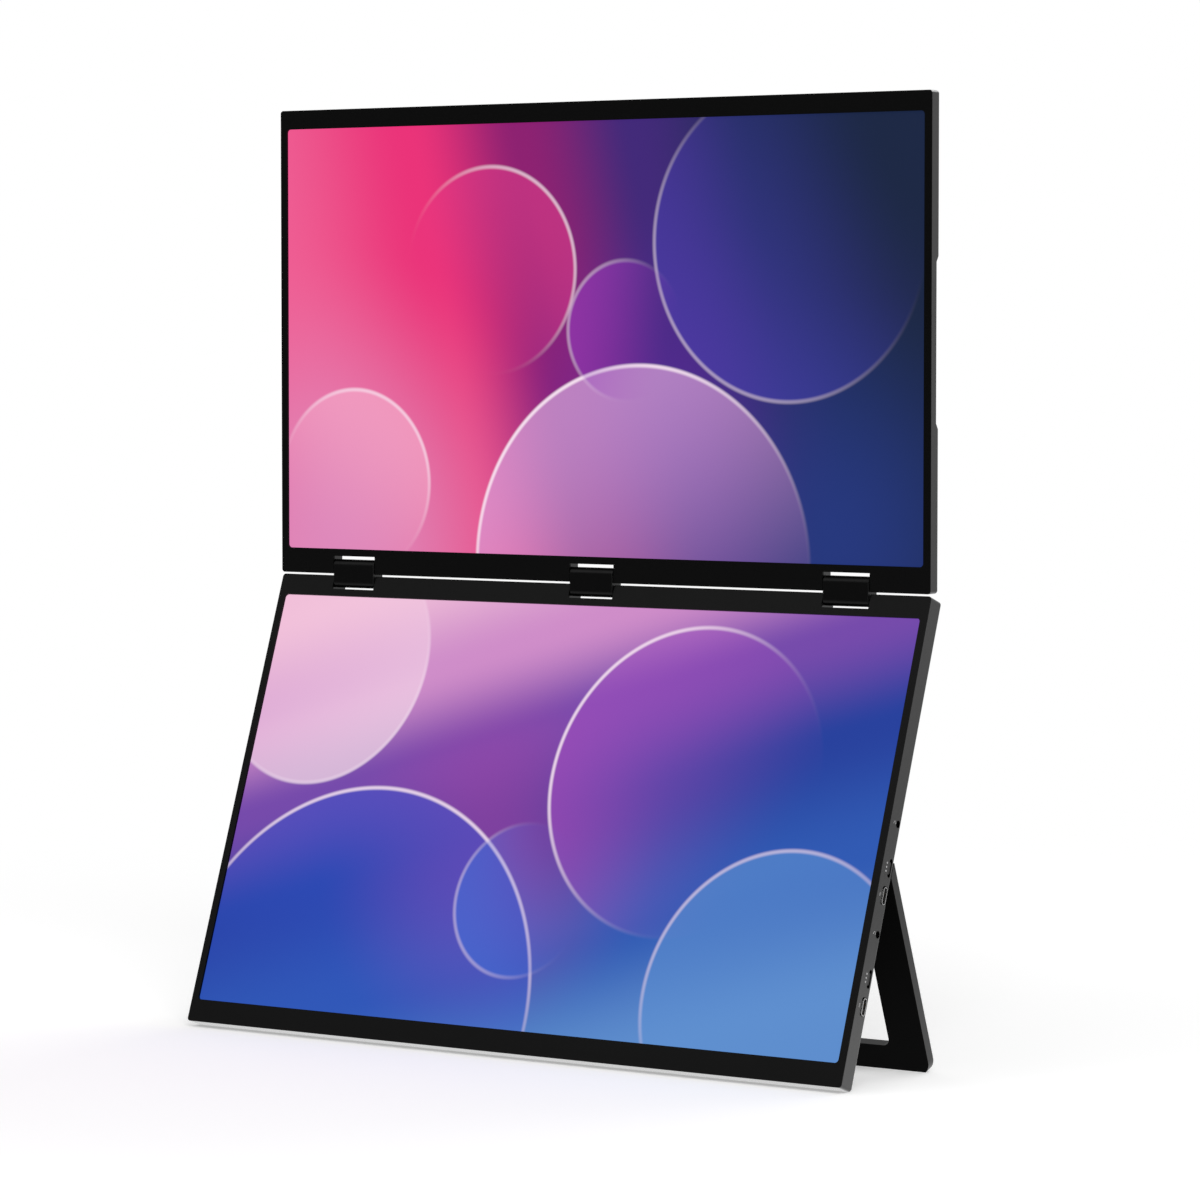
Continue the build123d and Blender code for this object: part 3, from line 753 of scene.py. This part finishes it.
@dataclass(frozen=True)
class PanelPlace:
    """Where a display stands: its front bottom edge and its own directions."""

    origin: Vector
    up: Vector
    inward: Vector

    def point(self, x: float, up: float, depth: float) -> Vector:
        """A place on the display.

        Args:
            x: Distance to the right of the middle.
            up: Distance up from the bottom edge.
            depth: Distance behind the front.

        Returns:
            The place in the common frame.
        """
        return self.origin + X_AXIS * x + self.up * up + self.inward * depth

    def matrix(self, at: Vector, first: Vector, second: Vector) -> Matrix:
        """Placing matrix with two given directions and their normal.

        Args:
            at: Place of the origin.
            first: Direction of the local x.
            second: Direction of the local y.

        Returns:
            The matrix.
        """
        third = first.cross(second)
        turned = Matrix((first, second, third)).transposed()
        return Matrix.Translation(at) @ turned.to_4x4()


def add_piece(name: str, mesh: bpy.types.Mesh, finish: Finish, body: Body) -> None:
    """Put a finished mesh in the scene.

    Args:
        name: Name of the piece.
        mesh: Mesh with its place in its vertices.
        finish: Finish of the piece.
        body: Body that it rides on.
    """
    mesh.name = name
    piece = bpy.data.objects.new(name, mesh)
    bpy.context.scene.collection.objects.link(piece)
    finish.dress(piece)
    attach(piece, body.value)
    LOG.info("%s: %d faces on %s", name, len(mesh.polygons), body.value)


@dataclass(frozen=True)
class StripRow:
    """Row of equal raised strips, made by a node tree."""

    count: int
    pitch: float
    width: float
    length: float
    height: float

    TREE = "strip_row"

    @classmethod
    def tree(cls) -> bpy.types.NodeTree:
        """Node tree of the row, with one named input for each size."""
        made = bpy.data.node_groups.get(cls.TREE)
        if made is not None:
            return made
        made = bpy.data.node_groups.new(cls.TREE, "GeometryNodeTree")
        face = made.interface
        face.new_socket("Geometry", in_out="OUTPUT", socket_type="NodeSocketGeometry")
        face.new_socket("Count", in_out="INPUT", socket_type="NodeSocketInt")
        for name in ("Pitch", "Width", "Length", "Height"):
            face.new_socket(name, in_out="INPUT", socket_type="NodeSocketFloat")
        face.new_socket("Material", in_out="INPUT", socket_type="NodeSocketMaterial")
        graph = Graph(made)
        entry = made.nodes.new("NodeGroupInput")
        given = {socket.name: Value(graph, socket) for socket in entry.outputs if socket.name}
        pitch, height = given["Pitch"], given["Height"]
        start = {"X": pitch * (given["Count"] - 1) * -0.5, "Z": height * 0.5}
        line = graph.node("GeometryNodeMeshLine", {}, {
            "Count": given["Count"], "Start Location": graph.node("ShaderNodeCombineXYZ", {}, start),
            "Offset": graph.node("ShaderNodeCombineXYZ", {}, {"X": pitch})})
        size = {"X": given["Width"], "Y": given["Length"], "Z": height}
        block = graph.node("ShaderNodeCombineXYZ", {}, size)
        strip = graph.node("GeometryNodeMeshCube", {}, {"Size": block})
        row = graph.node("GeometryNodeInstanceOnPoints", {}, {"Points": line, "Instance": strip})
        solid = graph.node("GeometryNodeRealizeInstances", {}, {"Geometry": row})
        dressed = graph.node("GeometryNodeSetMaterial", {},
                             {"Geometry": solid, "Material": given["Material"]})
        graph.node("NodeGroupOutput", {}, {"Geometry": dressed})
        return made

    def mesh(self, finish: Finish, at: Matrix) -> bpy.types.Mesh:
        """Plain mesh of the row.

        Args:
            finish: Finish of the strips.
            at: Where the row lies; it runs along its x, and the strips rise along its z.

        Returns:
            The mesh, with its place in its vertices.
        """
        tree = self.tree()
        maker = bpy.data.objects.new("strip_maker", bpy.data.meshes.new("strip_maker"))
        bpy.context.scene.collection.objects.link(maker)
        modifier = maker.modifiers.new("row", "NODES")
        modifier.node_group = tree
        values = {"Count": self.count, "Pitch": self.pitch, "Width": self.width, "Length": self.length,
                  "Height": self.height, "Material": finish.material()}
        for item in tree.interface.items_tree:
            if item.name in values:
                modifier[item.identifier] = values[item.name]
        depsgraph = bpy.context.evaluated_depsgraph_get()
        made = bpy.data.meshes.new_from_object(maker.evaluated_get(depsgraph), depsgraph=depsgraph)
        maker.modifiers.remove(modifier)
        bpy.data.objects.remove(maker)
        made.transform(at)
        return made


@dataclass
class DisplayPanel:
    """One display: bezel, screen, cover and what they hold."""

    name: str
    place: PanelPlace
    active_up: float
    case: Finish
    bezel: Finish
    picture: Picture
    active_width: float = 408.96 * MM
    active_height: float = 230.04 * MM
    screen_depth: float = 1.2 * MM

    def screen_finish(self) -> LitScreen:
        """Finish of the screen, placed on its lit area."""
        corner = self.place.point(-self.active_width / 2, self.active_up, self.screen_depth)
        return LitScreen(f"{self.name}_picture", corner, self.place.up, self.active_width,
                         self.active_height, self.picture)

    def dress(self, nodes: Mapping[str, bpy.types.Object]) -> None:
        """Dress the display's own pieces.

        Args:
            nodes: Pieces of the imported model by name.
        """
        self.case.dress(nodes[f"{self.name}_rear_cover"])
        self.bezel.dress(nodes[f"{self.name}_bezel"])
        self.screen_finish().dress(nodes[f"{self.name}_screen"])
        WhiteSheet("reflector_sheet").dress(nodes[f"{self.name}_backlight"])
        BoardResist("solder_resist").dress(nodes[f"{self.name}_timing_board"])
        FilmCable("film_cable").dress(nodes[f"{self.name}_panel_cable"])
        LOG.info("%s display dressed", self.name)


@dataclass
class HingeSet:
    """Three double hinges: blocks, shafts, bushes, brackets and screws."""

    block: Finish
    steel: Finish
    stamped: Finish
    bronze: Finish
    spots: tuple[str, ...] = ("left", "middle", "right")
    displays: tuple[str, ...] = ("lower", "upper")

    def dress(self, nodes: Mapping[str, bpy.types.Object]) -> None:
        """Dress every piece of the hinges.

        Args:
            nodes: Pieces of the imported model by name.
        """
        for spot in self.spots:
            self.block.dress(nodes[f"hinge_block_{spot}"])
            for display in self.displays:
                self.steel.dress(nodes[f"{display}_hinge_shaft_{spot}"])
                self.stamped.dress(nodes[f"{display}_hinge_bracket_{spot}"])
        for display in self.displays:
            self.bronze.dress(nodes[f"{display}_friction_bushes"])
            self.steel.dress(nodes[f"{display}_hinge_screws"])
        LOG.info("hinges dressed")


@dataclass
class PortBank:
    """Sockets and keys on the right side of the lower display, with their printed marks."""

    place: PanelPlace
    metal: Finish
    plastic: Finish
    key: Finish
    steel: Finish
    ink: Finish
    contact: Finish
    side: float = 208.8 * MM
    group_up: tuple[float, ...] = (114.0 * MM, 57.0 * MM)
    jack_above: float = 22.8 * MM
    usb_below: float = 14.3 * MM
    usb_depth: float = 8.23 * MM
    tongue_front: float = 1.55 * MM
    tongue_half: float = 0.35 * MM
    mark_depth: float = 4.7 * MM
    usb_mark_depth: float = 3.2 * MM
    ink_height: float = 0.012 * MM
    headband: Point = (0.72 * MM, 0.98 * MM)
    pad_from_middle: float = 0.9 * MM
    pad_half_width: float = 0.24 * MM
    pad_ends: Point = (-0.5 * MM, 0.34 * MM)
    pad_corner: float = 0.08 * MM
    ring_half_length: float = 0.55 * MM
    ring: Point = (0.24 * MM, 0.44 * MM)
    contact_reach: float = 1.9 * MM

    def dress(self, nodes: Mapping[str, bpy.types.Object]) -> None:
        """Dress the pieces of the ports.

        Args:
            nodes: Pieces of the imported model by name.
        """
        board = BoardResist("solder_resist")
        for number in (1, 2):
            self.metal.dress(nodes[f"usb_c_shell_{number}"])
            self.plastic.dress(nodes[f"usb_c_tongue_{number}"], nodes[f"audio_jack_{number}"],
                               nodes[f"rocker_switch_{number}"])
            self.key.dress(nodes[f"rocker_key_{number}"])
            board.dress(nodes[f"controller_board_{number}"])
        self.steel.dress(nodes["board_screws"])
        FilmCable("film_cable").dress(nodes["link_cable"])
        LOG.info("ports dressed")

    def build(self) -> None:
        """Make the printed marks and the contacts of both groups."""
        for number, up in enumerate(self.group_up, start=1):
            self.rocker_marks(number, up)
            jack_up, usb_up = up + self.jack_above, up - self.usb_below
            self.print_mark(f"headphone_mark_{number}", self.headphone_shapes(), jack_up, self.mark_depth)
            self.print_mark(f"usb_mark_{number}", self.socket_shapes(), usb_up, self.usb_mark_depth)
            self.usb_contacts(number, usb_up)

    def side_matrix(self, up: float, depth: float) -> Matrix:
        """Matrix on the side face: its x runs up, its y to the front, its z outwards.

        Args:
            up: Height on the display.
            depth: Distance behind the front.

        Returns:
            The matrix.
        """
        return self.place.matrix(self.place.point(self.side, up, depth), self.place.up, -self.place.inward)

    def rocker_marks(self, number: int, up: float) -> None:
        """Print three ticks in front of a rocker key.

        Args:
            number: Number of the port group.
            up: Height of the key.
        """
        row = StripRow(count=3, pitch=2.05 * MM, width=0.85 * MM, length=1.0 * MM, height=self.ink_height)
        mesh = row.mesh(self.ink, self.side_matrix(up, self.mark_depth))
        add_piece(f"rocker_marks_{number}", mesh, self.ink, Body.LOWER)

    @staticmethod
    def arc(middle: float, radius: float, start_deg: float, steps: int = 16) -> list[Point]:
        """Half circle of points about a middle on the x axis.

        Args:
            middle: Place of the middle.
            radius: Radius of the half circle.
            start_deg: Direction of its first point.
            steps: Number of steps along it.

        Returns:
            The points, anticlockwise.
        """
        turns = [math.radians(start_deg + 180 * i / steps) for i in range(steps + 1)]
        return [(middle + radius * math.cos(turn), radius * math.sin(turn)) for turn in turns]

    @staticmethod
    def band(inner: Sequence[Point], outer: Sequence[Point]) -> list[list[Point]]:
        """Four-sided shapes that fill the strip between two lines of points.

        Args:
            inner: Points of one line.
            outer: As many points of the other line.

        Returns:
            The shapes.
        """
        return [[inner[i], outer[i], outer[i + 1], inner[i + 1]] for i in range(len(inner) - 1)]

    def headphone_shapes(self) -> list[list[Point]]:
        """Shapes of a small headphone: a half ring with a pad at either end."""
        shapes = self.band(*(self.arc(0.0, radius, -90) for radius in self.headband))
        bottom, top = self.pad_ends
        cut = self.pad_corner
        for middle in (-self.pad_from_middle, self.pad_from_middle):
            low, high = middle - self.pad_half_width, middle + self.pad_half_width
            shapes.append([(top, high - cut), (top - cut, high), (bottom + cut, high), (bottom, high - cut),
                           (bottom, low + cut), (bottom + cut, low), (top - cut, low), (top, low + cut)])
        return shapes

    def socket_shapes(self) -> list[list[Point]]:
        """Shapes of a small long ring that stands for the socket beside it."""
        half = self.ring_half_length
        lines = []
        for radius in self.ring:
            line = self.arc(half, radius, -90) + self.arc(-half, radius, 90)
            lines.append(line + line[:1])
        return self.band(*lines)

    def print_mark(self, name: str, shapes: Sequence[Sequence[Point]], up: float, depth: float) -> None:
        """Print flat shapes on the side of the display, a layer of ink thick.

        Args:
            name: Name of the piece.
            shapes: Outlines of the shapes.
            up: Height of the mark on the display.
            depth: Distance of the mark behind the front.
        """
        made = bmesh.new()
        for shape in shapes:
            made.faces.new([made.verts.new((x, y, self.ink_height)) for x, y in shape])
        bmesh.ops.remove_doubles(made, verts=made.verts, dist=0.001 * MM)
        grown = bmesh.ops.extrude_face_region(made, geom=list(made.faces))
        lowered = [item for item in grown["geom"] if isinstance(item, bmesh.types.BMVert)]
        bmesh.ops.translate(made, verts=lowered, vec=(0, 0, -self.ink_height))
        bmesh.ops.recalc_face_normals(made, faces=made.faces)
        mesh = bpy.data.meshes.new(name)
        made.to_mesh(mesh)
        made.free()
        mesh.transform(self.side_matrix(up, depth))
        add_piece(name, mesh, self.ink, Body.LOWER)

    def usb_contacts(self, number: int, up: float) -> None:
        """Lay the contacts on both faces of a USB-C tongue.

        Args:
            number: Number of the port group.
            up: Height of the socket.
        """
        row = StripRow(count=12, pitch=0.5 * MM, width=0.26 * MM, length=3.0 * MM, height=0.03 * MM)
        made = bmesh.new()
        for turn in (-1, 1):
            at = self.place.point(self.side - self.tongue_front - self.contact_reach, up,
                                  self.usb_depth + turn * self.tongue_half)
            half = row.mesh(self.contact, self.place.matrix(at, self.place.up, X_AXIS * turn))
            made.from_mesh(half)
            bpy.data.meshes.remove(half)
        mesh = bpy.data.meshes.new("usb_contacts")
        made.to_mesh(mesh)
        made.free()
        add_piece(f"usb_c_contacts_{number}", mesh, self.contact, Body.LOWER)


@dataclass
class Kickstand:
    """Window-frame kickstand with its pins, lugs and lug screws."""

    steel: Finish
    lug: Finish
    lean_deg: float

    def dress(self, nodes: Mapping[str, bpy.types.Object]) -> None:
        """Dress every piece of the kickstand.

        Args:
            nodes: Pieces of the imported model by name.
        """
        lean = math.radians(self.lean_deg)
        inwards = (0.0, -math.cos(lean), -math.sin(lean))
        # The frame's inward face, turned to the display and the floor, is painted near black as painted
        # shade; the other faces take the lit grey metal tone.
        plate = FacingShadeCoat("stand_painted_shade", face_normal=inwards, both_sides=False)
        plate.dress(nodes["stand_frame"])
        for side in ("left", "right"):
            self.steel.dress(nodes[f"stand_pin_{side}"])
            self.lug.dress(nodes[f"stand_lug_{side}"])
        self.steel.dress(nodes["stand_lug_screws"])
        LOG.info("kickstand dressed")


@dataclass(frozen=True)
class Lamp:
    """Soft square lamp that faces the object."""

    name: str
    at: Triple
    size: float
    power: float

    def add(self, aim: Vector) -> None:
        """Put the lamp in the scene.

        Args:
            aim: Place that it faces.
        """
        light = bpy.data.lights.new(self.name, "AREA")
        light.size = self.size
        light.energy = self.power
        lamp = bpy.data.objects.new(self.name, light)
        lamp.location = self.at
        towards = aim - Vector(self.at)
        lamp.rotation_euler = towards.to_track_quat("-Z", "Y").to_euler()
        bpy.context.scene.collection.objects.link(lamp)


@dataclass
class Studio:
    """Plain white studio: floor, surroundings, soft lamps and the camera."""

    focal_px: float = 4888.4
    frame_px: float = 1200.0
    sensor: float = 36.0
    eye: Triple = (1.4800, -2.08186, 0.3748)
    yaw_deg: float = 34.842
    down_deg: float = 3.112
    floor_radius: float = 4.0
    floor_albedo: float = 0.82
    floor_lift: float = 0.36
    floor_white: Point = (0.45, 1.1)
    ambient: float = 0.5
    horizon: float = 0.15
    zenith: float = 0.5
    sky_rise: Point = (0.05, 0.5)
    backdrop: float = 0.62
    backdrop_from: Point = (-0.2, 0.4)
    dim_floor: float = 0.15
    dim_floor_from: Point = (0.3, 0.8)
    floor_sides: int = 96
    sight: float = 30.0
    aim_height: float = 0.25
    lamps: tuple[Lamp, ...] = (
        Lamp("key_lamp", (1.6, -1.7, 2.0), 1.4, 30.0),
        Lamp("fill_lamp", (-1.4, -1.9, 2.2), 1.6, 8.0),
        Lamp("back_lamp", (0.3, 2.0, 1.8), 1.6, 14.0),
    )

    def build(self) -> None:
        """Set up the view, the surroundings, the floor, the lamps and the camera."""
        bpy.context.scene.view_settings.view_transform = "Standard"
        self.surroundings()
        self.floor()
        for lamp in self.lamps:
            lamp.add(UPRIGHT * self.aim_height)
        self.camera()
        LOG.info("studio built")

    @staticmethod
    def seen(graph: Graph, *rays: Ray) -> Value:
        """One for rays of the given kinds, else nought.

        Args:
            graph: Graph that the nodes are added to.
            rays: Kinds of ray that count.

        Returns:
            The sum of the ray kinds.
        """
        first, *rest = [graph.node("ShaderNodeLightPath", output=ray.value) for ray in rays]
        return sum(rest, first)

    def surroundings(self) -> None:
        """Even light from all round, white to the camera, pale behind and dim in front in reflections."""
        world = bpy.data.worlds.new("white_room")
        world.use_nodes = True
        bpy.context.scene.world = world
        graph = Graph(world.node_tree)
        outwards = graph.node("ShaderNodeTexCoord", output="Generated")
        rise = graph.step(graph.along(UPRIGHT, outwards), *self.sky_rise)
        behind = graph.step(graph.along(-TO_FRONT, outwards), *self.backdrop_from)
        front_sky = self.horizon + (self.zenith - self.horizon) * rise
        sky = front_sky + (self.backdrop - front_sky) * behind * (1 - rise)
        looked = self.seen(graph, Ray.CAMERA)
        mirrored = self.seen(graph, Ray.GLOSSY, Ray.TRANSMISSION)
        strength = self.ambient + looked * (1 - self.ambient) + mirrored * (sky - self.ambient)
        light = graph.node("ShaderNodeBackground", {}, {"Color": WHITE, "Strength": strength})
        graph.node("ShaderNodeOutputWorld", {}, {"Surface": light})

    def floor(self) -> None:
        """Round floor under the object."""
        made = bmesh.new()
        bmesh.ops.create_circle(made, cap_ends=True, segments=self.floor_sides, radius=self.floor_radius)
        mesh = bpy.data.meshes.new("floor")
        made.to_mesh(mesh)
        made.free()
        floor = bpy.data.objects.new("floor", mesh)
        bpy.context.scene.collection.objects.link(floor)
        mesh.materials.append(self.floor_material())

    @staticmethod
    def glow(graph: Graph, strength: float) -> Value:
        """White glow of that strength."""
        return graph.node("ShaderNodeEmission", {}, {"Color": WHITE, "Strength": strength})

    def floor_material(self) -> bpy.types.Material:
        """Pale floor that keeps the soft shadow, is white far out and dims in reflections."""
        material = bpy.data.materials.new("pale_floor")
        material.use_nodes = True
        graph = Graph(material.node_tree)
        reach = graph.node("ShaderNodeVectorMath", {"operation": "LENGTH"}, {0: graph.place()}, "Value")
        far = graph.step(reach, *self.floor_white)
        looked = self.seen(graph, Ray.CAMERA)
        mirrored = self.seen(graph, Ray.GLOSSY, Ray.TRANSMISSION)
        front = graph.step(graph.along(TO_FRONT), *self.dim_floor_from)
        away = graph.step(reach, *self.dim_floor_from)

        def blend(share: Value, first: Value, second: Value) -> Value:
            """Mix of two shaders, with a share of the second."""
            return graph.node("ShaderNodeMixShader", {}, {"Fac": share, 1: first, 2: second})

        plain = graph.node("ShaderNodeBsdfDiffuse", {}, {"Color": grey(self.floor_albedo)})
        lifted = graph.node("ShaderNodeAddShader", {}, {0: plain, 1: self.glow(graph, self.floor_lift)})
        outer = blend(front, self.glow(graph, self.backdrop), self.glow(graph, self.dim_floor))
        bright = blend(away * mirrored, self.glow(graph, 1.0), outer)
        shown = blend(far * looked + mirrored, blend(looked, plain, lifted), bright)
        graph.node("ShaderNodeOutputMaterial", {}, {"Surface": shown})
        return material

    def camera(self) -> None:
        """Camera at the photograph's place."""
        lens = bpy.data.cameras.new("camera")
        lens.sensor_width = self.sensor
        lens.lens = self.focal_px / self.frame_px * self.sensor
        lens.clip_end = self.sight
        camera = bpy.data.objects.new("camera", lens)
        camera.location = self.eye
        camera.rotation_euler = (math.radians(90 - self.down_deg), 0.0, math.radians(self.yaw_deg))
        bpy.context.scene.collection.objects.link(camera)
        bpy.context.scene.camera = camera


@dataclass
class DualMonitor:
    """The whole object, with the sizes that place its displays."""

    lean_deg: float = 19.6
    opening_deg: float = 40.1
    panel_height: float = 253.94 * MM
    axis_depth: float = 2.9 * MM
    lower_axis_from_edge: float = 3.25 * MM
    upper_axis_from_edge: float = 4.6 * MM
    lower_active_up: float = 12.2 * MM
    upper_active_up: float = 13.6 * MM

    @staticmethod
    def joint_place(name: str) -> Vector:
        """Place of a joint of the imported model."""
        return next(Vector(joint["pos_m"]) for joint in frame["joints"] if joint["name"] == name)

    def lower_place(self) -> PanelPlace:
        """Place of the lower display, which leans back."""
        lean = math.radians(self.lean_deg)
        up = Vector((0.0, math.sin(lean), math.cos(lean)))
        inward = Vector((0.0, math.cos(lean), -math.sin(lean)))
        axis = self.joint_place("lower_fold")
        rise = self.panel_height - self.lower_axis_from_edge
        return PanelPlace(axis - up * rise - inward * self.axis_depth, up, inward)

    def upper_place(self) -> PanelPlace:
        """Place of the upper display, which is upright."""
        inward = -TO_FRONT
        axis = self.joint_place("upper_fold")
        origin = axis - UPRIGHT * self.upper_axis_from_edge - inward * self.axis_depth
        return PanelPlace(origin, UPRIGHT, inward)

    def build(self, nodes: Mapping[str, bpy.types.Object]) -> None:
        """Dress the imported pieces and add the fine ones.

        Args:
            nodes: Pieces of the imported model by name.
        """
        case = BlastedMetal("blasted_case")
        steel = DrawnMetal("drawn_steel", colour=grey(0.5))
        stamped = DrawnMetal("stamped_steel", colour=grey(0.42), roughness=0.38, lines=(1.0, 0.1, 0.1))
        bronze = DrawnMetal("bush_bronze", colour=srgb(190, 140, 80), roughness=0.34)
        bezel = MattCoat("bezel_black", colour=grey(0.0012), roughness=0.4, specular=0.13)
        # Hinge blocks: the end faces along x take the lit grey metal tone, and every other face is painted
        # near black as painted shade.
        hinge = FacingShadeCoat("hinge_painted_shade", face_normal=tuple(X_AXIS), face=grey(0.07), edge=grey(0.0012),
                          face_metal=1.0, edge_metal=0.0, face_roughness=0.36, edge_roughness=0.3,
                          specular=0.15)
        lower, upper = self.lower_place(), self.upper_place()
        DisplayPanel("lower", lower, self.lower_active_up, case, bezel, LOWER_PICTURE).dress(nodes)
        DisplayPanel("upper", upper, self.upper_active_up, case, bezel, UPPER_PICTURE).dress(nodes)
        HingeSet(hinge, steel, stamped, bronze).dress(nodes)
        ports = PortBank(
            lower,
            metal=DrawnMetal("socket_rim", colour=grey(0.75), roughness=0.25),
            plastic=MattCoat("socket_plastic", colour=grey(0.004), roughness=0.45, specular=0.2),
            key=MattCoat("key_plastic", colour=grey(0.025), roughness=0.42, specular=0.4),
            steel=steel,
            ink=PrintedInk("pale_ink"),
            contact=DrawnMetal("contact_gold", colour=srgb(214, 170, 90), roughness=0.25),
        )
        ports.dress(nodes)
        ports.build()
        lug = MattCoat("lug_paint", colour=grey(0.03), roughness=0.4, specular=0.3)
        Kickstand(steel, lug, self.opening_deg - self.lean_deg).dress(nodes)


def main() -> None:
    """Build the monitor and its studio."""
    logging.basicConfig(level=logging.INFO, format="%(message)s")
    DualMonitor().build(frame["nodes"])
    Studio().build()


if __name__ == "__main__":
    main()
